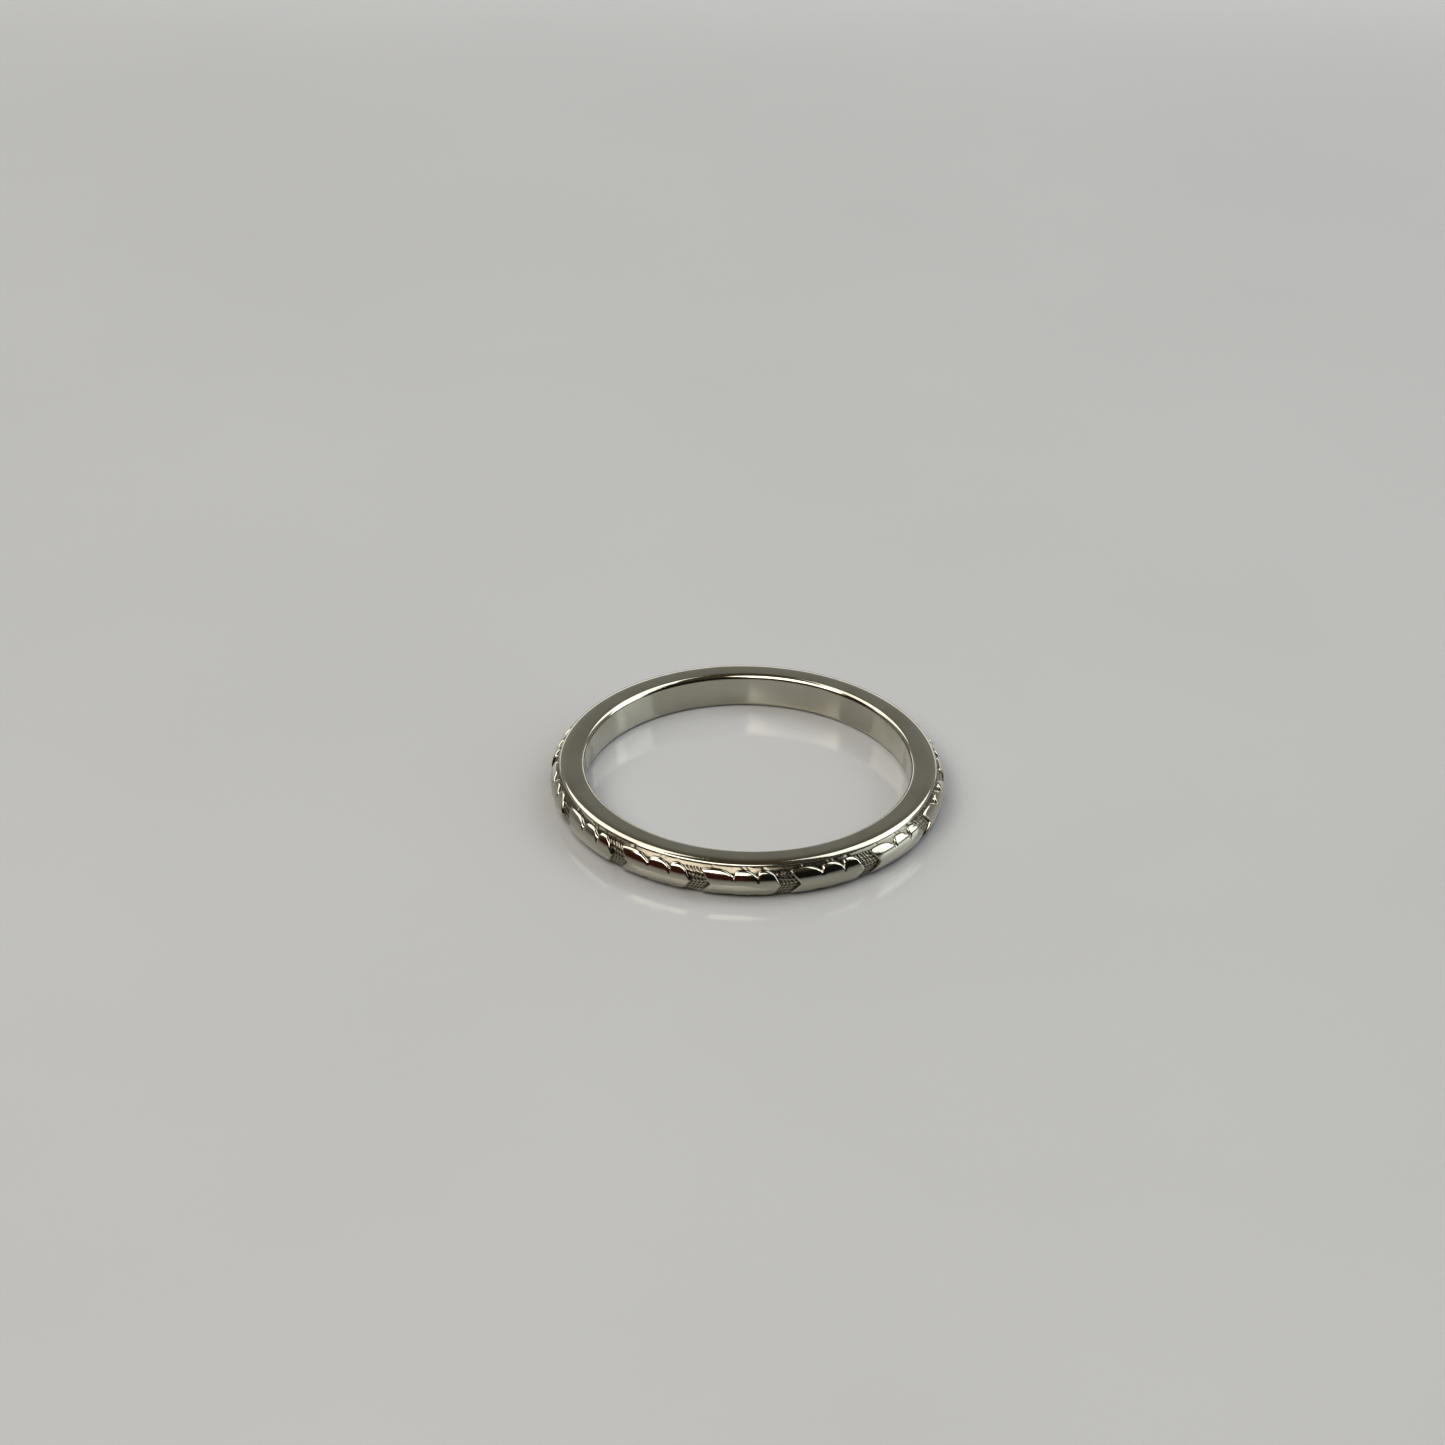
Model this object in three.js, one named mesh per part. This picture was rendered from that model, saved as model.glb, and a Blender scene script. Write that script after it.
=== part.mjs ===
// A narrow carved wedding band in polished white gold, built up from its bench pieces:
// a plain shank with flat sides, a rolled rim wire round each shoulder, a chased strip of
// ground between the two rims, and a row of three-lobed leaves that chase each other round it.
// The crest of the carved field sits a little below the middle of the band's width.
// Millimetres. The bore's axis is +Z and the lower side face lies on z = 0.
// Angles run from -Y towards +X, which is the way the leaves point.
import * as THREE from "three";

// Shank
const boreRadius = 8.25;
const bandWidth = 1.9;
const shankWall = 0.73;
const boreEdgeRound = 0.28;

// Rim wires
const rimHeight = 0.54;
const rimRollWidth = 0.5;
const upperRimWidth = 0.18;
const upperRimRoll = 0.16;
const lowerRimWidth = 0.12;
const lowerRimRoll = 0.08;

// Chased ground
const crestDrop = 0.08;
const crestWall = 0.81;
const crownRadius = 1;

// Leaves
const leafCount = 14;
const leafHeight = 0.2;
const rimMargin = 0.02;
const chevronWidth = 0.97;
const notchDepth = 0.55;
const tipDepth = 0.42;
const cuspDepth = 0.26;
const cornerDepth = 0.07;
const tipShoulder = 0.2;
const lobeParts = [5, 4, 3];
const firstLeafAngle = -35.7;

// The thin layer of solder between neighbouring pieces
const solderGap = 0.03;

// Fineness of the facets
const segmentsPerLeaf = 6;
const roundSteps = 4;
const crownSteps = 12;
const columnsPerLobePart = 2;
const leafRows = 8;

const degree = Math.PI / 180;
const shankOuter = boreRadius + shankWall;
const seatRadius = shankOuter + solderGap;
const groundCrestRadius = seatRadius + crestWall;
const fieldLow = lowerRimWidth + solderGap;
const fieldHigh = bandWidth - upperRimWidth - solderGap;
const crestHeight = bandWidth / 2 - crestDrop;
const leafHalfWidth = Math.min(fieldHigh - crestHeight, crestHeight - fieldLow) - rimMargin;
const leafParts = lobeParts.reduce((sum, parts) => sum + parts);

const polishedGold = { color: 0xc9c6bf, roughness: 0.12, metalness: 1 };
const chasedGold = { color: 0xa9a49a, roughness: 0.42, metalness: 1 };

const band = new THREE.Group();

function addPiece(name, geometry, finish) {
  const mesh = new THREE.Mesh(geometry, new THREE.MeshStandardMaterial(finish));
  mesh.name = name;
  band.add(mesh);
  return mesh;
}

// A ring turned round the bore's axis from a closed profile of [radius, height] points.
function turnedRing(profile) {
  const points = [...profile, profile[0]].map(([radius, height]) => new THREE.Vector2(radius, height));
  const geometry = new THREE.LatheGeometry(points, leafCount * segmentsPerLeaf);
  geometry.rotateX(Math.PI / 2);
  return geometry;
}

// Points on a rounded corner about [radius, height], from one angle to another.
function roundCorner(radius, height, across, along, fromAngle, toAngle) {
  const points = [];
  for (let step = 0; step <= roundSteps; step += 1) {
    const angle = THREE.MathUtils.lerp(fromAngle, toAngle, step / roundSteps) * degree;
    points.push([radius + across * Math.cos(angle), height + along * Math.sin(angle)]);
  }
  return points;
}

// Radius of the ground's round crown, at an offset from its crest along the band's width.
function groundRadius(offset) {
  return groundCrestRadius - crownRadius + Math.sqrt(crownRadius ** 2 - offset ** 2);
}

// The shank: a flat-sided ring with a softened edge at each end of the bore.
function shankProfile() {
  const round = boreEdgeRound;
  return [
    [shankOuter, 0],
    [shankOuter, bandWidth],
    ...roundCorner(boreRadius + round, bandWidth - round, round, round, 90, 180),
    ...roundCorner(boreRadius + round, round, round, round, 180, 270),
  ];
}

// A rim wire for the upper shoulder: flush with the side face, then rolled over in one long
// slope that ends in its narrow outer edge.
function rimProfile(width, roll) {
  const outer = seatRadius + rimHeight;
  return [
    [seatRadius, bandWidth - width],
    [outer, bandWidth - width],
    ...roundCorner(outer - rimRollWidth, bandWidth - roll, rimRollWidth, roll, 0, 90),
    [seatRadius, bandWidth],
  ];
}

// A profile turned over for the lower shoulder, its points in the opposite order.
function turnedOver(profile) {
  return profile.map(([radius, height]) => [radius, bandWidth - height]).reverse();
}

// The ground: a strip that fills the space between the rims, crowned on its outside.
function groundProfile() {
  const points = [[seatRadius, fieldLow]];
  for (let step = 0; step <= crownSteps; step += 1) {
    const height = THREE.MathUtils.lerp(fieldLow, fieldHigh, step / crownSteps);
    points.push([groundRadius(height - crestHeight), height]);
  }
  points.push([seatRadius, fieldHigh]);
  return points;
}

// Half the leaf's width at a share of its length: three lobes that meet in cusps,
// a softened corner at the notched end and a lower shoulder at the pointed end.
function leafHalfWidthAt(share) {
  const place = share * leafParts;
  let start = 0;
  let lobe = 0;
  while (lobe < lobeParts.length - 1 && place > start + lobeParts[lobe]) {
    start += lobeParts[lobe];
    lobe += 1;
  }
  const along = THREE.MathUtils.clamp((2 * (place - start)) / lobeParts[lobe] - 1, -1, 1);
  const isFirst = lobe === 0;
  const isLast = lobe === lobeParts.length - 1;
  const leftDepth = isFirst ? cornerDepth : cuspDepth;
  const rightDepth = isLast ? tipShoulder : cuspDepth;
  return leafHalfWidth - (along < 0 ? leftDepth : rightDepth) * Math.abs(along) ** 3;
}

// One leaf, its notch at angle 0. A block is laid out as a grid along, across and through
// the leaf, swept back at both ends, then wrapped round the crown of the ground.
function leafGeometry() {
  const period = (2 * Math.PI) / leafCount;
  const crestRadius = groundRadius(0) + leafHeight;
  const leafLength = period * crestRadius - chevronWidth;
  const geometry = new THREE.BoxGeometry(1, 1, 1, leafParts * columnsPerLobePart, leafRows, 1);
  const places = geometry.getAttribute("position");
  for (let index = 0; index < places.count; index += 1) {
    const share = places.getX(index) + 0.5;
    const across = 2 * places.getY(index);
    const isOuter = places.getZ(index) > 0;
    const sweep = THREE.MathUtils.lerp(notchDepth, tipDepth, share) * Math.abs(across);
    const angle = (share * leafLength - sweep) / crestRadius;
    const offset = leafHalfWidthAt(share) * across;
    const radius = groundRadius(offset) + (isOuter ? leafHeight : solderGap);
    places.setXYZ(index, radius * Math.sin(angle), -radius * Math.cos(angle), crestHeight + offset);
  }
  geometry.computeVertexNormals();
  return geometry;
}

addPiece("shank", turnedRing(shankProfile()), polishedGold);
addPiece("upper_rim", turnedRing(rimProfile(upperRimWidth, upperRimRoll)), polishedGold);
addPiece("lower_rim", turnedRing(turnedOver(rimProfile(lowerRimWidth, lowerRimRoll))), polishedGold);
addPiece("chased_ground", turnedRing(groundProfile()), chasedGold);

for (let count = 0; count < leafCount; count += 1) {
  const name = "leaf_" + String(count + 1).padStart(2, "0");
  const leaf = addPiece(name, leafGeometry(), polishedGold);
  leaf.rotation.z = (firstLeafAngle + (count * 360) / leafCount) * degree;
}

export default band;
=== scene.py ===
"""A slim carved wedding band in white gold, lying on a pale polished table top.

The band has a plain bore, flat polished sides and a rolled rim round each shoulder. Its domed
outside carries a row of raised three-lobed leaves, with a stippled chevron between each two.
"""

import math
import random

import bmesh
import bpy
from mathutils import Matrix, Vector
from mathutils.noise import noise as noise_at


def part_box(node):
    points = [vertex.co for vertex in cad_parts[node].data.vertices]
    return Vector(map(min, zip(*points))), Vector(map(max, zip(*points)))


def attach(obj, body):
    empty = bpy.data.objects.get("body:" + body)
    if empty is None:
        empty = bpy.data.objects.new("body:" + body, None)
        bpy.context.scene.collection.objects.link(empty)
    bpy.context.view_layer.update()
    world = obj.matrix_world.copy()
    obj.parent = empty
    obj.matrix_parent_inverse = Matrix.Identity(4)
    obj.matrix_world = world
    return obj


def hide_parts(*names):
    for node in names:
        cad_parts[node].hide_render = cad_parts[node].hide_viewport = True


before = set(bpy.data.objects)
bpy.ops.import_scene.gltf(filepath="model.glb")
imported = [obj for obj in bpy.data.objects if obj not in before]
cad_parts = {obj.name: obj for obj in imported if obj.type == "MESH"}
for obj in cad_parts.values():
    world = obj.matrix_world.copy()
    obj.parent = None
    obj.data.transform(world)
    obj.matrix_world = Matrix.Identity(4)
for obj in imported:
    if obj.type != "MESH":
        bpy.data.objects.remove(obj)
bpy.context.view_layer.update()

bl_info = {
    "name": "Carved Wedding Band",
    "version": (1, 0, 0),
    "blender": (4, 5, 0),
    "location": "View3D > Sidebar > Band",
    "description": "Models a carved white gold wedding band and the table it lies on",
    "category": "Add Mesh",
}

MM = 0.001

# The band's own sizes, from the nodes that the pieces stand for.
SHANK_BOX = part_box("shank")
UPPER_RIM_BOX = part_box("upper_rim")
LOWER_RIM_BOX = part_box("lower_rim")
GROUND_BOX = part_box("chased_ground")
BAND_WIDTH = SHANK_BOX[1].z
SHANK_OUTER = SHANK_BOX[1].x
RIM_OUTER = UPPER_RIM_BOX[1].x
GROUND_CREST = GROUND_BOX[1].x
GROUND_LOW = GROUND_BOX[0].z
GROUND_TOP = GROUND_BOX[1].z
CREST_HEIGHT = (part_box("leaf_01")[0].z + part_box("leaf_01")[1].z) / 2
LEAF_HALF = (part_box("leaf_01")[1].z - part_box("leaf_01")[0].z) / 2
FIELD_HALF = CREST_HEIGHT - GROUND_LOW
LEAF_NODES = sorted(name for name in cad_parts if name.startswith("leaf_"))
LEAF_COUNT = len(LEAF_NODES)
PITCH_ANGLE = math.tau / LEAF_COUNT

# Two places closer than this count as the same place.
TOUCH = 0.001 * MM

# Edges blunter than these angles, in degrees, are shaded smooth.
TURNED_SMOOTH = 40
CHASED_SMOOTH = 60
CARVED_SMOOTH = 50


# ---------------------------------------------------------------- sizes and colours


class BandSizes(bpy.types.PropertyGroup):
    bore_radius: bpy.props.FloatProperty(
        name="Bore radius", description="Radius of the hole for the finger",
        default=8.25 * MM, unit="LENGTH")
    bore_edge: bpy.props.FloatProperty(
        name="Bore edge", description="Rounding where the bore meets the side faces",
        default=0.28 * MM, unit="LENGTH")
    roll_width: bpy.props.FloatProperty(
        name="Roll width", description="How far each rim's rolled slope reaches in from its edge",
        default=0.5 * MM, unit="LENGTH")
    undercut: bpy.props.FloatProperty(
        name="Undercut", description="How far each rim is cut back under its outer edge",
        default=0.05 * MM, unit="LENGTH")
    upper_roll: bpy.props.FloatProperty(
        name="Upper roll", description="How far the upper rim's slope drops",
        default=0.16 * MM, unit="LENGTH")
    lower_roll: bpy.props.FloatProperty(
        name="Lower roll", description="How far the lower rim's slope drops",
        default=0.08 * MM, unit="LENGTH")
    crown_radius: bpy.props.FloatProperty(
        name="Crown radius", description="Radius of the ground's round crown, across the band",
        default=1 * MM, unit="LENGTH")
    ring_steps: bpy.props.IntProperty(
        name="Ring steps", description="Facets round each turned piece", default=448, min=56)


class LeafSizes(bpy.types.PropertyGroup):
    first_angle: bpy.props.FloatProperty(
        name="First leaf", description="Angle of the first leaf's notch, from the front",
        default=math.radians(-35.7), unit="ROTATION")
    height: bpy.props.FloatProperty(
        name="Leaf height", description="How far a leaf stands above the ground",
        default=0.2 * MM, unit="LENGTH")
    chevron_width: bpy.props.FloatProperty(
        name="Chevron width", description="Width of the stippled chevron along the band",
        default=0.97 * MM, unit="LENGTH")
    notch_depth: bpy.props.FloatProperty(
        name="Notch depth", description="How far a leaf's left corners reach back past its notch",
        default=0.55 * MM, unit="LENGTH")
    tip_depth: bpy.props.FloatProperty(
        name="Tip depth", description="How far a leaf's tip reaches past its right shoulders",
        default=0.42 * MM, unit="LENGTH")
    cusp_depth: bpy.props.FloatProperty(
        name="Cusp depth", description="How far the outline dips between two lobes",
        default=0.26 * MM, unit="LENGTH")
    edge_round: bpy.props.FloatProperty(
        name="Edge rounding", description="Rounding of a leaf's upper edge",
        default=0.09 * MM, unit="LENGTH")
    cut_depth: bpy.props.FloatProperty(
        name="Cut depth", description="Depth of the graver's cut that runs in from each cusp",
        default=0.06 * MM, unit="LENGTH")
    cut_length: bpy.props.FloatProperty(
        name="Cut length", description="How far each cut runs in from the outline",
        default=0.17 * MM, unit="LENGTH")
    cut_width: bpy.props.FloatProperty(
        name="Cut width", description="Half width of each cut at its mouth",
        default=0.07 * MM, unit="LENGTH")
    waviness: bpy.props.FloatProperty(
        name="Waviness", description="Unevenness that hand finishing leaves on a leaf",
        default=0.005 * MM, unit="LENGTH")


class ChasingSizes(bpy.types.PropertyGroup):
    punch_pitch: bpy.props.FloatProperty(
        name="Punch pitch", description="Distance between two punched dots",
        default=0.2 * MM, unit="LENGTH")
    punch_wall: bpy.props.FloatProperty(
        name="Punch wall", description="Width of the wall left round each dot",
        default=0.036 * MM, unit="LENGTH")
    punch_depth: bpy.props.FloatProperty(
        name="Punch depth", description="Depth of each dot",
        default=0.045 * MM, unit="LENGTH")
    chevron_lift: bpy.props.FloatProperty(
        name="Chevron lift", description="How far the chevrons stand above the plain ground",
        default=0.07 * MM, unit="LENGTH")
    side_share: bpy.props.FloatProperty(
        name="Side marks", description="Share of the places beside the lobes that are marked",
        default=0.4, min=0, max=1)
    side_lift: bpy.props.FloatProperty(
        name="Side lift", description="How far the ground beside the lobes is raised",
        default=0.06 * MM, unit="LENGTH")
    wander: bpy.props.FloatProperty(
        name="Wander", description="How far a dot strays from its row",
        default=0.045 * MM, unit="LENGTH")
    seed: bpy.props.IntProperty(name="Seed", description="Seed of the hand-cut unevenness", default=7)


class GoldFinish(bpy.types.PropertyGroup):
    polished: bpy.props.FloatVectorProperty(
        name="Polished gold", description="Colour of the polished white gold",
        subtype="COLOR", size=3, min=0, max=1, default=(0.44, 0.425, 0.355))
    worn: bpy.props.FloatVectorProperty(
        name="Worn gold", description="Colour of the duller patches",
        subtype="COLOR", size=3, min=0, max=1, default=(0.385, 0.365, 0.30))
    # Painted shade: a dark colour mixed into the chased ground where the punches cut deep and over the
    # plain ground. It stands in for the shade in those recesses.
    painted_shade: bpy.props.FloatVectorProperty(
        name="Painted shade", description="Colour of the tarnish in the low places",
        subtype="COLOR", size=3, min=0, max=1, default=(0.055, 0.04, 0.02))
    roughness: bpy.props.FloatProperty(
        name="Roughness", description="Roughness of the polished metal", default=0.065, min=0, max=1)
    scratch: bpy.props.FloatProperty(
        name="Scratches", description="Strength of the fine scratches", default=0.12, min=0, max=1)


class StudioSizes(bpy.types.PropertyGroup):
    camera_distance: bpy.props.FloatProperty(
        name="Camera distance", description="From the camera to the middle of the band",
        default=200 * MM, unit="LENGTH")
    camera_height: bpy.props.FloatProperty(
        name="Camera elevation", description="Angle of the camera above the table",
        default=math.radians(32.33), unit="ROTATION")
    camera_roll: bpy.props.FloatProperty(
        name="Camera roll", description="How far the camera is turned about its own axis",
        default=math.radians(1.37), unit="ROTATION")
    aim_left: bpy.props.FloatProperty(
        name="Aim left", description="How far left of the band's middle the camera points",
        default=1.283 * MM, unit="LENGTH")
    aim_up: bpy.props.FloatProperty(
        name="Aim up", description="How far above the band's middle the camera points",
        default=2.67 * MM, unit="LENGTH")
    lens: bpy.props.FloatProperty(
        name="Lens", description="Focal length of the camera, in millimetres", default=98.2)
    table_size: bpy.props.FloatProperty(
        name="Table size", description="Length of the table top's sides", default=3.0, unit="LENGTH")
    table_colour: bpy.props.FloatVectorProperty(
        name="Table", description="Colour of the table top",
        subtype="COLOR", size=3, min=0, max=1, default=(0.36, 0.363, 0.368))


# ---------------------------------------------------------------- working on a mesh


def deselect_all():
    if bpy.context.mode != "OBJECT":
        bpy.ops.object.mode_set(mode="OBJECT")
    bpy.ops.object.select_all(action="DESELECT")


def work_on(piece):
    """Makes the piece the only selected object and the active one."""
    deselect_all()
    piece.select_set(True)
    bpy.context.view_layer.objects.active = piece


def name_new_piece(name):
    """Names the primitive that was just added, and puts its place in its mesh."""
    piece = bpy.context.active_object
    piece.name = name
    piece.data.name = name
    bpy.ops.object.transform_apply(location=True, rotation=True, scale=True)
    return piece


def edit(piece):
    work_on(piece)
    bpy.ops.object.mode_set(mode="EDIT")
    return bmesh.from_edit_mesh(piece.data)


def pick(piece, mesh, mode, wanted):
    """Selects the vertices, edges or faces that pass the test, and nothing else."""
    bpy.ops.mesh.select_mode(type=mode)
    bpy.ops.mesh.select_all(action="DESELECT")
    items = {"VERT": mesh.verts, "EDGE": mesh.edges, "FACE": mesh.faces}[mode]
    for item in items:
        if wanted(item):
            item.select_set(True)
    mesh.select_flush_mode()
    bmesh.update_edit_mesh(piece.data)


def apply_modifier(piece, kind, **settings):
    work_on(piece)
    modifier = piece.modifiers.new(kind.title(), kind)
    for key, value in settings.items():
        setattr(modifier, key, value)
    bpy.ops.object.modifier_apply(modifier=modifier.name)


def tidy_mesh(piece, merge=1e-8):
    edit(piece)
    bpy.ops.mesh.select_all(action="SELECT")
    bpy.ops.mesh.remove_doubles(threshold=merge)
    bpy.ops.mesh.normals_make_consistent(inside=False)
    bpy.ops.object.mode_set(mode="OBJECT")


def smooth(piece, angle):
    work_on(piece)
    bpy.ops.object.shade_smooth_by_angle(angle=math.radians(angle))


def section(name, inner, outer, low, high):
    """A flat rectangle in the XZ plane: the section of a turned ring."""
    deselect_all()
    middle = ((inner + outer) / 2, 0, (low + high) / 2)
    bpy.ops.mesh.primitive_plane_add(size=1, location=middle, rotation=(math.pi / 2, 0, 0))
    bpy.context.active_object.scale = (outer - inner, high - low, 1)
    return name_new_piece(name)


def round_corners(piece, wanted, size, steps):
    mesh = edit(piece)
    pick(piece, mesh, "VERT", wanted)
    bpy.ops.mesh.bevel(offset=size, affect="VERTICES", segments=steps, profile=0.5)
    bpy.ops.object.mode_set(mode="OBJECT")


def turn(piece, steps):
    """Spins a section round the band's axis into a closed ring."""
    edit(piece)
    bpy.ops.mesh.select_mode(type="FACE")
    bpy.ops.mesh.select_all(action="SELECT")
    bpy.ops.mesh.delete(type="ONLY_FACE")
    bpy.ops.mesh.select_mode(type="VERT")
    bpy.ops.mesh.select_all(action="SELECT")
    bpy.ops.mesh.spin(steps=steps, angle=math.tau, center=(0, 0, 0), axis=(0, 0, 1))
    bpy.ops.object.mode_set(mode="OBJECT")
    tidy_mesh(piece)


def finish_piece(piece, nodes, material):
    """Gives the piece its finish and its place in the frame."""
    piece.data.materials.clear()
    piece.data.materials.append(material)
    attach(piece, "root")
    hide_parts(*nodes)


# ---------------------------------------------------------------- the flat layout


# A pitch of the pattern is laid out flat: x runs along the band from a leaf's notch, y runs
# across it from the middle, and z is the height above the plain ground.


def ground_radius(offset, sizes):
    """Radius of the plain ground, at an offset across the band from its crest."""
    crown = sizes.crown_radius
    return GROUND_CREST - crown + math.sqrt(max(crown ** 2 - offset ** 2, 0))


def crest_radius(leaf):
    return GROUND_CREST + leaf.height


def pitch_length(leaf):
    return PITCH_ANGLE * crest_radius(leaf)


def leaf_length(leaf):
    return pitch_length(leaf) - leaf.chevron_width


def sweep_back(x, leaf):
    """How far a place beside the middle lies behind the middle, at full width."""
    length = leaf_length(leaf)
    if x <= length:
        share = x / length
    else:
        share = 1 - (x - length) / leaf.chevron_width
    return leaf.notch_depth + (leaf.tip_depth - leaf.notch_depth) * share


def wrap(piece, sizes, leaf):
    """Bends a flat layout round the crown of the ground."""
    crest = crest_radius(leaf)
    for vertex in piece.data.vertices:
        x, y, z = vertex.co
        along = x - sweep_back(x, leaf) * abs(y) / FIELD_HALF
        radius = ground_radius(y, sizes) + z
        angle = along / crest
        vertex.co = (radius * math.sin(angle), -radius * math.cos(angle), CREST_HEIGHT + y)


def turned_copy(piece, name, angle):
    copy = piece.copy()
    copy.data = piece.data.copy()
    copy.name = name
    copy.data.name = name
    bpy.context.collection.objects.link(copy)
    copy.data.transform(Matrix.Rotation(angle, 4, "Z"))
    return copy


# ---------------------------------------------------------------- materials


def new_material(name):
    material = bpy.data.materials.new(name)
    material.use_nodes = True
    return material, material.node_tree.nodes, material.node_tree.links


def node(nodes, kind, **settings):
    made = nodes.new(kind)
    for key, value in settings.items():
        setattr(made, key, value)
    return made


def round_the_band(nodes, links):
    """Object coordinates unrolled round the band: angle, height and radius."""
    place = node(nodes, "ShaderNodeTexCoord")
    split = node(nodes, "ShaderNodeSeparateXYZ")
    links.new(place.outputs["Object"], split.inputs[0])
    angle = node(nodes, "ShaderNodeMath", operation="ARCTAN2")
    links.new(split.outputs["X"], angle.inputs[0])
    links.new(split.outputs["Y"], angle.inputs[1])
    flat = node(nodes, "ShaderNodeCombineXYZ")
    links.new(split.outputs["X"], flat.inputs["X"])
    links.new(split.outputs["Y"], flat.inputs["Y"])
    radius = node(nodes, "ShaderNodeVectorMath", operation="LENGTH")
    links.new(flat.outputs[0], radius.inputs[0])
    joined = node(nodes, "ShaderNodeCombineXYZ")
    links.new(angle.outputs[0], joined.inputs["X"])
    links.new(split.outputs["Z"], joined.inputs["Y"])
    links.new(radius.outputs["Value"], joined.inputs["Z"])
    return place, joined


def noise(nodes, links, source, scale, detail, stretch=None):
    texture = node(nodes, "ShaderNodeTexNoise")
    texture.inputs["Scale"].default_value = scale
    texture.inputs["Detail"].default_value = detail
    if stretch is None:
        links.new(source, texture.inputs["Vector"])
        return texture
    mapping = node(nodes, "ShaderNodeMapping")
    mapping.inputs["Scale"].default_value = stretch
    links.new(source, mapping.inputs["Vector"])
    links.new(mapping.outputs[0], texture.inputs["Vector"])
    return texture


def remap(nodes, links, source, low, high, to_low, to_high):
    made = node(nodes, "ShaderNodeMapRange")
    made.inputs["From Min"].default_value = low
    made.inputs["From Max"].default_value = high
    made.inputs["To Min"].default_value = to_low
    made.inputs["To Max"].default_value = to_high
    links.new(source, made.inputs["Value"])
    return made.outputs[0]


def blend_colours(nodes, links, share, first, second):
    """Mixes two colours, each a tuple or another node's output."""
    made = node(nodes, "ShaderNodeMix", data_type="RGBA")
    colours = [socket for socket in made.inputs if socket.type == "RGBA"]
    for socket, colour in zip(colours, (first, second)):
        if isinstance(colour, tuple):
            socket.default_value = (*colour, 1)
        else:
            links.new(colour, socket)
    links.new(share, made.inputs["Factor"])
    return next(socket for socket in made.outputs if socket.type == "RGBA")


def gold(name, finish, chased):
    """White gold with soft wear, hairlines round the band and, where it is chased, painted shade that
    darkens the deep punch marks and the plain ground.
    """
    material, nodes, links = new_material(name)
    shader = nodes["Principled BSDF"]
    shader.inputs["Metallic"].default_value = 1.0
    place, unrolled = round_the_band(nodes, links)
    patches = noise(nodes, links, place.outputs["Object"], 450, 3)
    hairlines = noise(nodes, links, unrolled.outputs[0], 1.0, 6, stretch=(6, 60000, 60000))
    scuffs = noise(nodes, links, place.outputs["Object"], 9000, 4, stretch=(1.0, 0.35, 0.6))
    colour = blend_colours(
        nodes, links, remap(nodes, links, patches.outputs[0], 0.4, 0.7, 0, 1),
        tuple(finish.polished), tuple(finish.worn))
    if chased:
        # Painted shade: cut_depth holds how deeply each place is punched, raised to a set amount on the
        # plain ground, and the colour is darkened towards the painted shade colour there.
        depth = node(nodes, "ShaderNodeAttribute", attribute_name="cut_depth")
        shade_share = remap(nodes, links, depth.outputs["Fac"], 0.1, 0.75, 0, 0.9)
        colour = blend_colours(nodes, links, shade_share, colour, tuple(finish.painted_shade))
    links.new(colour, shader.inputs["Base Color"])
    base = finish.roughness + (0.1 if chased else 0)
    wear = node(nodes, "ShaderNodeMath", operation="MULTIPLY")
    links.new(patches.outputs[0], wear.inputs[0])
    links.new(scuffs.outputs[0], wear.inputs[1])
    links.new(remap(nodes, links, wear.outputs[0], 0.1, 0.45, base * 0.7, base * 1.9),
              shader.inputs["Roughness"])
    lines = node(nodes, "ShaderNodeBump")
    lines.inputs["Strength"].default_value = finish.scratch
    lines.inputs["Distance"].default_value = 0.004 * MM
    links.new(hairlines.outputs[0], lines.inputs["Height"])
    marks = node(nodes, "ShaderNodeBump")
    marks.inputs["Strength"].default_value = finish.scratch
    marks.inputs["Distance"].default_value = 0.006 * MM
    links.new(scuffs.outputs[0], marks.inputs["Height"])
    links.new(lines.outputs[0], marks.inputs["Normal"])
    links.new(marks.outputs[0], shader.inputs["Normal"])
    return material


def gold_for(finish, chased):
    name = "chased_white_gold" if chased else "polished_white_gold"
    return bpy.data.materials.get(name) or gold(name, finish, chased)


def table_material(colour):
    material, nodes, links = new_material("polished_table")
    shader = nodes["Principled BSDF"]
    shader.inputs["IOR"].default_value = 1.5
    place = node(nodes, "ShaderNodeTexCoord")
    cloud = noise(nodes, links, place.outputs["Object"], 40, 3)
    tint = blend_colours(
        nodes, links, remap(nodes, links, cloud.outputs[0], 0.3, 0.7, 0, 1),
        tuple(colour), tuple(channel * 0.97 for channel in colour))
    links.new(tint, shader.inputs["Base Color"])
    grain = noise(nodes, links, place.outputs["Object"], 3000, 2)
    links.new(remap(nodes, links, grain.outputs[0], 0.3, 0.7, 0.11, 0.15), shader.inputs["Roughness"])
    return material


# ---------------------------------------------------------------- the band's pieces


class BAND_OT_shank(bpy.types.Operator):
    """Turn the shank: a flat-sided ring with softened bore edges"""

    bl_idname = "band.shank"
    bl_label = "Shank"

    EDGE_STEPS = 14

    def execute(self, context):
        sizes = context.scene.band_sizes
        shank = section("shank_ring", sizes.bore_radius, SHANK_OUTER, 0, BAND_WIDTH)
        inner = sizes.bore_radius + sizes.bore_edge / 2
        round_corners(shank, lambda vertex: vertex.co.x < inner, sizes.bore_edge, self.EDGE_STEPS)
        turn(shank, sizes.ring_steps)
        smooth(shank, TURNED_SMOOTH)
        apply_modifier(shank, "WEIGHTED_NORMAL", weight=100, keep_sharp=True)
        finish_piece(shank, ["shank"], gold_for(context.scene.gold_finish, False))
        return {"FINISHED"}


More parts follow.
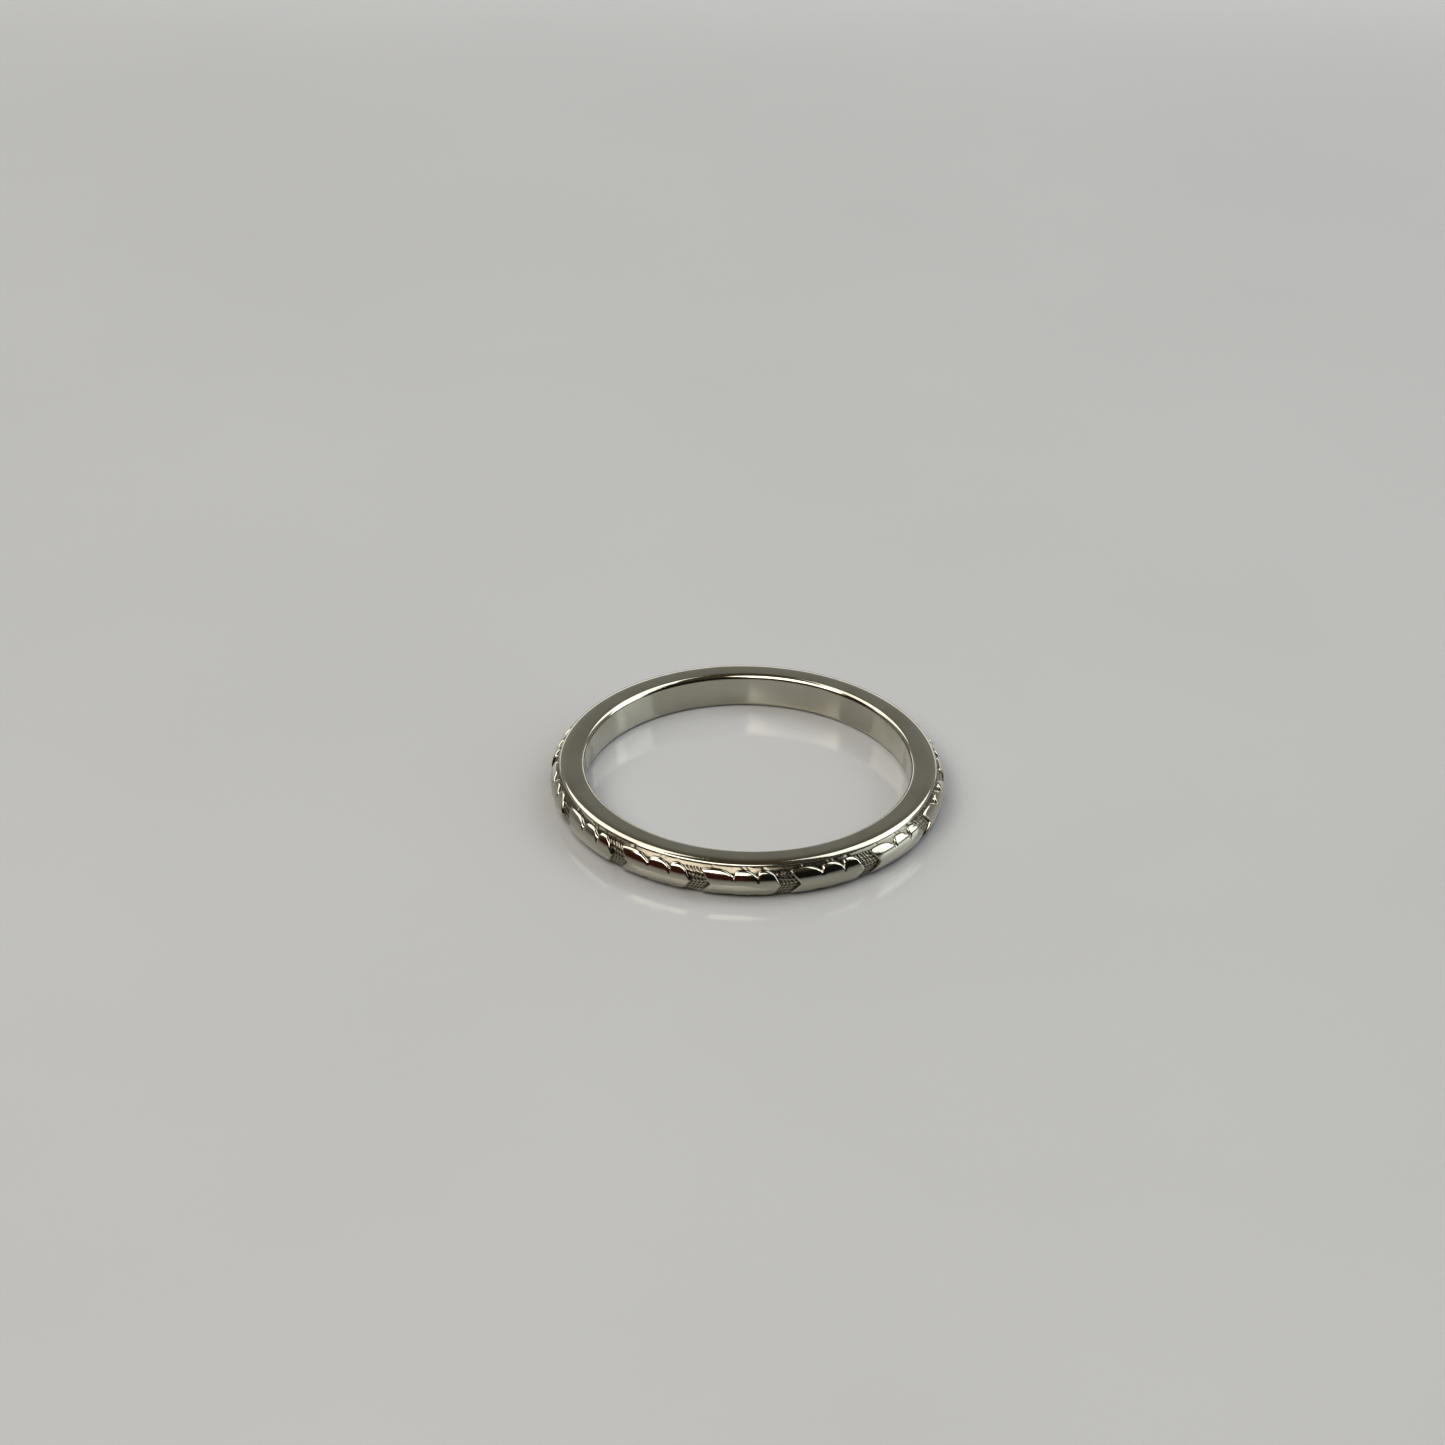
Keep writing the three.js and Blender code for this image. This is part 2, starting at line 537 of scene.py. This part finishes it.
class BAND_OT_rims(bpy.types.Operator):
    """Turn the two rolled rims, one round each shoulder"""

    bl_idname = "band.rims"
    bl_label = "Rims"

    ROLL_STEPS = 20

    def execute(self, context):
        sizes = context.scene.band_sizes
        material = gold_for(context.scene.gold_finish, False)
        for name, box, outward, roll in (
            ("upper_rim", UPPER_RIM_BOX, UPPER_RIM_BOX[1].z, sizes.upper_roll),
            ("lower_rim", LOWER_RIM_BOX, LOWER_RIM_BOX[0].z, sizes.lower_roll),
        ):
            stretch = sizes.roll_width / roll
            rim = section(
                name + "_wire", SHANK_OUTER, RIM_OUTER, box[0].z * stretch, box[1].z * stretch)
            corner = Vector((RIM_OUTER, 0, outward * stretch))
            round_corners(
                rim, lambda vertex: (vertex.co - corner).length < TOUCH,
                sizes.roll_width, self.ROLL_STEPS)
            mesh = edit(rim)
            inner_corner = box[0].z + box[1].z - outward
            pick(rim, mesh, "VERT", lambda vertex: (
                vertex.co.x > RIM_OUTER - TOUCH
                and abs(vertex.co.z - inner_corner * stretch) < TOUCH))
            bpy.ops.transform.translate(value=(-sizes.undercut, 0, 0))
            bpy.ops.object.mode_set(mode="OBJECT")
            rim.scale.z = 1 / stretch
            bpy.ops.object.transform_apply(location=False, rotation=False, scale=True)
            turn(rim, sizes.ring_steps)
            smooth(rim, TURNED_SMOOTH)
            apply_modifier(rim, "WEIGHTED_NORMAL", weight=100, keep_sharp=True)
            finish_piece(rim, [name], material)
        return {"FINISHED"}


class BAND_OT_ground(bpy.types.Operator):
    """Chase the ground: a crowned strip with a stippled chevron at each pitch"""

    bl_idname = "band.ground"
    bl_label = "Chased ground"

    FINENESS = 2
    # A cell's length along the leaf, as a multiple of the punch pitch.
    LEAF_CELL = 1.3
    # The marks beside the lobes, as shares of a dot's wall and depth and of the leaf's length.
    SIDE_WALL = 1.3
    SIDE_DEPTH = 0.6
    SIDE_REACH = 0.97
    # How soon the chevron rises from its ends, and where it falls away beside the rims.
    CHEVRON_RAMP = 0.05 * MM
    RIM_CLEARANCE = 0.06 * MM
    RIM_RAMP = 0.16 * MM
    # The share of a dot's depth where the painted shade is full, and the painted shade on the plain
    # ground.
    FULL_SHADE_SHARE = 0.8
    PLAIN_GROUND_SHADE = 0.62
    # Where the ground beside the lobes starts to rise, and over what distance, in half leaf widths.
    SIDE_LIFT_FROM = 0.4
    SIDE_LIFT_OVER = 0.3

    def execute(self, context):
        scene = context.scene
        sizes, leaf, chasing = scene.band_sizes, scene.leaf_sizes, scene.chasing_sizes
        pitch = self.one_pitch(sizes, leaf, chasing)
        copies = [
            turned_copy(pitch, "ground_pitch", leaf.first_angle + number * PITCH_ANGLE)
            for number in range(LEAF_COUNT)
        ]
        bpy.data.objects.remove(pitch)
        deselect_all()
        for copy in copies:
            copy.select_set(True)
        bpy.context.view_layer.objects.active = copies[0]
        bpy.ops.object.join()
        ground = bpy.context.active_object
        ground.name = "chased_ground_strip"
        ground.data.name = ground.name
        tidy_mesh(ground, merge=2 * TOUCH)
        smooth(ground, CHASED_SMOOTH)
        finish_piece(ground, ["chased_ground"], gold_for(scene.gold_finish, True))
        return {"FINISHED"}

    def one_pitch(self, sizes, leaf, chasing):
        length, pitch = leaf_length(leaf), pitch_length(leaf)
        columns_in_chevron = max(2, round(leaf.chevron_width / chasing.punch_pitch))
        columns_in_leaf = max(4, round(length / chasing.punch_pitch / self.LEAF_CELL))
        rows = max(4, round((GROUND_TOP - GROUND_LOW) / chasing.punch_pitch))
        columns = columns_in_leaf + columns_in_chevron
        deselect_all()
        bpy.ops.mesh.primitive_grid_add(
            x_subdivisions=columns, y_subdivisions=rows, size=2, location=(0, 0, 0))
        piece = name_new_piece("ground_pitch")
        draw = random.Random(chasing.seed)
        for vertex in piece.data.vertices:
            column = round((vertex.co.x + 1) / 2 * columns)
            x = column / columns_in_leaf * length
            if column > columns_in_leaf:
                x = length + (column - columns_in_leaf) / columns_in_chevron * leaf.chevron_width
            y = GROUND_LOW - CREST_HEIGHT + (vertex.co.y + 1) / 2 * (GROUND_TOP - GROUND_LOW)
            inside = 0 < column < columns and abs(vertex.co.y) < 0.99
            if inside:
                x += draw.uniform(-1, 1) * chasing.wander
                y += draw.uniform(-1, 1) * chasing.wander
            vertex.co = (x, y, 0)
        self.punch(piece, leaf, chasing, length)
        apply_modifier(
            piece, "SUBSURF", levels=self.FINENESS, render_levels=self.FINENESS,
            boundary_smooth="PRESERVE_CORNERS")
        self.lift_chevron(piece, leaf, chasing, length)
        self.close_underneath(piece, sizes, pitch)
        wrap(piece, sizes, leaf)
        return piece

    def punch(self, piece, leaf, chasing, length):
        """Sinks a dot in each cell of the chevron, and rough marks beside the lobes."""
        mesh = edit(piece)
        at_corner = lambda face: sum(edge.is_boundary for edge in face.edges) > 1
        in_chevron = lambda face: (
            face.calc_center_median().x > length
            and face.calc_center_median().y < LEAF_HALF
            and not at_corner(face)
        )
        draw = random.Random(chasing.seed + 1)
        beside_lobes = lambda face: (
            face.calc_center_median().x < length * self.SIDE_REACH
            and abs(face.calc_center_median().y) > LEAF_HALF - chasing.punch_pitch
            and not at_corner(face)
            and draw.random() < chasing.side_share
        )
        for wanted, wall, depth in (
            (in_chevron, chasing.punch_wall, chasing.punch_depth),
            (beside_lobes, chasing.punch_wall * self.SIDE_WALL, chasing.punch_depth * self.SIDE_DEPTH),
        ):
            pick(piece, mesh, "FACE", wanted)
            bpy.ops.mesh.inset(thickness=wall, depth=-depth, use_individual=True)
            mesh = bmesh.from_edit_mesh(piece.data)
        bpy.ops.object.mode_set(mode="OBJECT")

    def lift_chevron(self, piece, leaf, chasing, length):
        """Notes how deep each place is cut as the amount of painted shade, adds painted shade on the
        plain ground, then raises the chevron and the ground beside the lobes.
        """
        shade_amounts = piece.data.attributes.new("cut_depth", "FLOAT", "POINT")
        for vertex, depth in zip(piece.data.vertices, shade_amounts.data):
            x, y, z = vertex.co
            depth.value = min(1, -z / (chasing.punch_depth * self.FULL_SHADE_SHARE))
            from_ends = min(x - length, length + leaf.chevron_width - x)
            share = max(0, min(1, from_ends / self.CHEVRON_RAMP))
            from_rim = (LEAF_HALF - self.RIM_CLEARANCE - y) / self.RIM_RAMP
            share *= max(0, min(1, from_rim))
            vertex.co.z = z + chasing.chevron_lift * share
            # Painted shade: the plain ground outside the chevron gets a set amount of shade in its
            # colour, as in a recess between rims and leaves.
            depth.value = max(depth.value, self.PLAIN_GROUND_SHADE * (1 - share))
            beside = (abs(y) - self.SIDE_LIFT_FROM * LEAF_HALF) / (self.SIDE_LIFT_OVER * LEAF_HALF)
            vertex.co.z += chasing.side_lift * (1 - share) * max(0, min(1, beside))

    def close_underneath(self, piece, sizes, pitch):
        """Draws the strip's long edges down and closes them underneath."""
        mesh = edit(piece)
        drop = ground_radius(GROUND_TOP - CREST_HEIGHT, sizes) - SHANK_OUTER
        low, high = GROUND_LOW - CREST_HEIGHT, GROUND_TOP - CREST_HEIGHT
        at_edge = lambda edge: any(
            all(abs(vertex.co.y - side) < TOUCH for vertex in edge.verts) for side in (low, high))
        pick(piece, mesh, "EDGE", at_edge)
        bpy.ops.mesh.extrude_edges_move(TRANSFORM_OT_translate={"value": (0, 0, -drop)})
        bpy.ops.mesh.bridge_edge_loops()
        bpy.ops.object.mode_set(mode="OBJECT")


class BAND_OT_leaves(bpy.types.Operator):
    """Carve one leaf, then set a copy of it at each pitch"""

    bl_idname = "band.leaves"
    bl_label = "Leaves"

    COLUMNS = 144
    ROWS = 48
    # The share of the columns' spacing that is drawn in towards the leaf's ends.
    CROWDING = 0.35
    # The lobes' lengths, the lower cusps' depth against the upper ones', and the outer corners.
    LOBE_PARTS = (5, 4, 3)
    LOWER_CUSP = 0.4
    FIRST_CORNER = 0.07 * MM
    LAST_CORNER = 0.2 * MM
    # How steeply the ends count as edge, and how each graver's cut slants and outgrows the last.
    END_SLOPE = 0.8
    CUT_SLANT = 0.5
    CUT_GROWTH = 1.8
    # How deep the leaf's foot sits in the ground, and the length of its unevenness.
    SUNK = 0.02 * MM
    WAVE_LENGTH = 0.9 * MM

    def execute(self, context):
        sizes, leaf = context.scene.band_sizes, context.scene.leaf_sizes
        pattern = self.one_leaf(sizes, leaf)
        material = gold_for(context.scene.gold_finish, False)
        for number, name in enumerate(LEAF_NODES):
            angle = leaf.first_angle + number * PITCH_ANGLE
            copy = turned_copy(pattern, "carved_" + name, angle)
            self.hand_finish(copy, leaf)
            finish_piece(copy, [name], material)
        bpy.data.objects.remove(pattern)
        return {"FINISHED"}

    def hand_finish(self, piece, leaf):
        """Leaves each copy a little uneven, no two alike."""
        for vertex in piece.data.vertices:
            outward = Vector((vertex.co.x, vertex.co.y, 0)).normalized()
            vertex.co += outward * (noise_at(vertex.co / self.WAVE_LENGTH) - 1) * leaf.waviness

    def lobe_at(self, share):
        """The lobe at a share of the leaf's length, and the place along it from -1 to 1."""
        place = share * sum(self.LOBE_PARTS)
        start, lobe = 0, 0
        while lobe < len(self.LOBE_PARTS) - 1 and place > start + self.LOBE_PARTS[lobe]:
            start += self.LOBE_PARTS[lobe]
            lobe += 1
        return lobe, max(-1, min(1, 2 * (place - start) / self.LOBE_PARTS[lobe] - 1))

    def half_width(self, share, side, leaf):
        """Half the leaf's width on its upper side or, cut less deeply, on its lower side."""
        lobe, along = self.lobe_at(share)
        cusp = leaf.cusp_depth if side > 0 else self.LOWER_CUSP * leaf.cusp_depth
        left = self.FIRST_CORNER if lobe == 0 else cusp
        right = self.LAST_CORNER if lobe == len(self.LOBE_PARTS) - 1 else cusp
        dip = left if along < 0 else right
        return LEAF_HALF - dip * abs(along) ** 3

    def one_leaf(self, sizes, leaf):
        deselect_all()
        bpy.ops.mesh.primitive_grid_add(
            x_subdivisions=self.COLUMNS, y_subdivisions=self.ROWS, size=2, location=(0, 0, 0))
        piece = name_new_piece("leaf_pattern")
        length = leaf_length(leaf)
        for vertex in piece.data.vertices:
            crowded_x = (
                math.sin(vertex.co.x * math.pi / 2) * self.CROWDING
                + vertex.co.x * (1 - self.CROWDING))
            crowded_y = math.sin(vertex.co.y * math.pi / 2)
            share = (crowded_x + 1) / 2
            half = self.half_width(share, vertex.co.y, leaf)
            x, y = share * length, crowded_y * half
            edge = min(half - abs(y), x * self.END_SLOPE, (length - x) * self.END_SLOPE)
            vertex.co = (x, y, self.height(x, y, edge, length, leaf))
        self.close_underneath(piece)
        wrap(piece, sizes, leaf)
        tidy_mesh(piece)
        smooth(piece, CARVED_SMOOTH)
        return piece

    def height(self, x, y, edge, length, leaf):
        """Height of the leaf's surface: flat-topped, rounded at its edge, cut at each cusp."""
        size = leaf.edge_round
        inside = max(0, size - edge)
        level = leaf.height - (size - math.sqrt(max(size ** 2 - inside ** 2, 0)))
        start, reach = 0, leaf.cut_length
        for parts in self.LOBE_PARTS[:-1]:
            start += parts
            cusp = start / sum(self.LOBE_PARTS) * length
            run = max(0, (LEAF_HALF - leaf.cusp_depth) - y)
            share = 1 - run / reach
            if share > 0:
                centre = cusp - self.CUT_SLANT * run
                level -= leaf.cut_depth * share * math.exp(-(((x - centre) / leaf.cut_width) ** 2))
            reach *= self.CUT_GROWTH
        return level

    def close_underneath(self, piece):
        mesh = edit(piece)
        pick(piece, mesh, "EDGE", lambda edge: edge.is_boundary)
        bpy.ops.mesh.extrude_edges_move(TRANSFORM_OT_translate={"value": (0, 0, 0)})
        mesh = bmesh.from_edit_mesh(piece.data)
        for vertex in mesh.verts:
            if vertex.select:
                vertex.co.z = -self.SUNK
        bpy.ops.mesh.edge_face_add()
        bpy.ops.object.mode_set(mode="OBJECT")


# ---------------------------------------------------------------- the stage


class BAND_OT_stage(bpy.types.Operator):
    """Lay the table, and set the lights and the camera"""

    bl_idname = "band.stage"
    bl_label = "Table, lights and camera"

    PANEL_DISTANCE = 0.6
    TABLE_CLEARANCE = 0.002 * MM
    # The dim room's colours, each for a side as seen from the band.
    NEAR_LEFT = (0.055, 0.016, 0.01)
    NEAR_RIGHT = (0.012, 0.011, 0.01)
    FAR_SIDE = (0.33, 0.325, 0.31)
    OVERHEAD = (0.09, 0.075, 0.05)

    def execute(self, context):
        studio = context.scene.studio_sizes
        self.table(studio)
        self.lights()
        self.room()
        self.camera(context, studio)
        context.scene.view_settings.view_transform = "Standard"
        return {"FINISHED"}

    def table(self, studio):
        deselect_all()
        bpy.ops.mesh.primitive_plane_add(size=studio.table_size, location=(0, 0, -self.TABLE_CLEARANCE))
        table = bpy.context.active_object
        table.name = "table_top"
        table.data.materials.append(table_material(studio.table_colour))

    def panel(self, name, azimuth, elevation, across, up, radiance, colour):
        """A soft panel that faces the band; its place and spread are angles seen from the band."""
        distance = self.PANEL_DISTANCE
        a, e = math.radians(azimuth), math.radians(elevation)
        way = Vector((math.sin(a) * math.cos(e), -math.cos(a) * math.cos(e), math.sin(e)))
        deselect_all()
        bpy.ops.object.light_add(type="AREA", location=way * distance)
        lamp = bpy.context.active_object
        lamp.name = name
        lamp.rotation_euler = way.to_track_quat("Z", "Y").to_euler()
        lamp.data.shape = "RECTANGLE"
        lamp.data.size = 2 * distance * math.tan(math.radians(across) / 2)
        lamp.data.size_y = 2 * distance * math.tan(math.radians(up) / 2)
        lamp.data.color = colour
        lamp.data.energy = radiance * math.pi * lamp.data.size * lamp.data.size_y
        lamp.visible_camera = False

    def lights(self):
        self.panel("warm_panel", -34, 52, 58, 34, 5.2, (1.0, 0.955, 0.87))
        self.panel("cool_panel", 92, 27, 30, 46, 3.0, (0.86, 0.95, 1.0))
        self.panel("left_panel", -124, 50, 40, 38, 2.5, (1.0, 0.98, 0.94))
        self.panel("right_panel", 124, 50, 40, 38, 2.7, (0.93, 0.97, 1.0))
        self.panel("far_panel", 180, 11, 80, 12, 1.1, (1.0, 1.0, 1.0))

    def room(self):
        """A dim room: pale grey beyond the band, dark overhead and darker on the near side."""
        world = bpy.data.worlds.new("dim_room")
        bpy.context.scene.world = world
        world.use_nodes = True
        nodes, links = world.node_tree.nodes, world.node_tree.links
        place = node(nodes, "ShaderNodeTexCoord")
        way = node(nodes, "ShaderNodeSeparateXYZ")
        links.new(place.outputs["Generated"], way.inputs[0])
        to_right = remap(nodes, links, way.outputs["X"], -0.05, 0.1, 0, 1)
        to_far = remap(nodes, links, way.outputs["Y"], -0.1, 0.4, 0, 1)
        overhead = remap(nodes, links, way.outputs["Z"], 0.48, 0.84, 0, 1)
        near = blend_colours(nodes, links, to_right, self.NEAR_LEFT, self.NEAR_RIGHT)
        round_about = blend_colours(nodes, links, to_far, near, self.FAR_SIDE)
        whole = blend_colours(nodes, links, overhead, round_about, self.OVERHEAD)
        backdrop = nodes["Background"]
        links.new(whole, backdrop.inputs["Color"])

    def camera(self, context, studio):
        centre = Vector((0, 0, BAND_WIDTH / 2))
        ahead = Vector((0, math.cos(studio.camera_height), -math.sin(studio.camera_height)))
        right = Matrix.Rotation(-studio.camera_roll, 3, ahead) @ Vector((1, 0, 0))
        up = right.cross(ahead)
        place = centre - ahead * studio.camera_distance
        aim = centre - right * studio.aim_left + up * studio.aim_up
        back = (place - aim).normalized()
        side = up.cross(back).normalized()
        turn_matrix = Matrix((side, back.cross(side), back)).transposed()
        deselect_all()
        bpy.ops.object.camera_add(location=place, rotation=turn_matrix.to_euler())
        camera = bpy.context.active_object
        camera.name = "camera"
        camera.data.lens = studio.lens
        camera.data.clip_start = 1 * MM
        camera.data.clip_end = 10
        context.scene.camera = camera


class BAND_PT_panel(bpy.types.Panel):
    """Lists the band's pieces and the stage"""

    bl_idname = "BAND_PT_panel"
    bl_label = "Carved Wedding Band"
    bl_space_type = "VIEW_3D"
    bl_region_type = "UI"
    bl_category = "Band"

    def draw(self, context):
        for operator in OPERATORS:
            self.layout.operator(operator.bl_idname)


OPERATORS = (BAND_OT_shank, BAND_OT_rims, BAND_OT_ground, BAND_OT_leaves, BAND_OT_stage)
GROUPS = {
    "band_sizes": BandSizes,
    "leaf_sizes": LeafSizes,
    "chasing_sizes": ChasingSizes,
    "gold_finish": GoldFinish,
    "studio_sizes": StudioSizes,
}


def register():
    for kind in (*GROUPS.values(), *OPERATORS, BAND_PT_panel):
        bpy.utils.register_class(kind)
    for name, group in GROUPS.items():
        setattr(bpy.types.Scene, name, bpy.props.PointerProperty(type=group))


def unregister():
    for name in GROUPS:
        delattr(bpy.types.Scene, name)
    for kind in (BAND_PT_panel, *reversed(OPERATORS), *reversed(GROUPS.values())):
        bpy.utils.unregister_class(kind)


def main():
    register()
    bpy.ops.band.shank()
    bpy.ops.band.rims()
    bpy.ops.band.ground()
    bpy.ops.band.leaves()
    bpy.ops.band.stage()


if __name__ == "__main__":
    main()
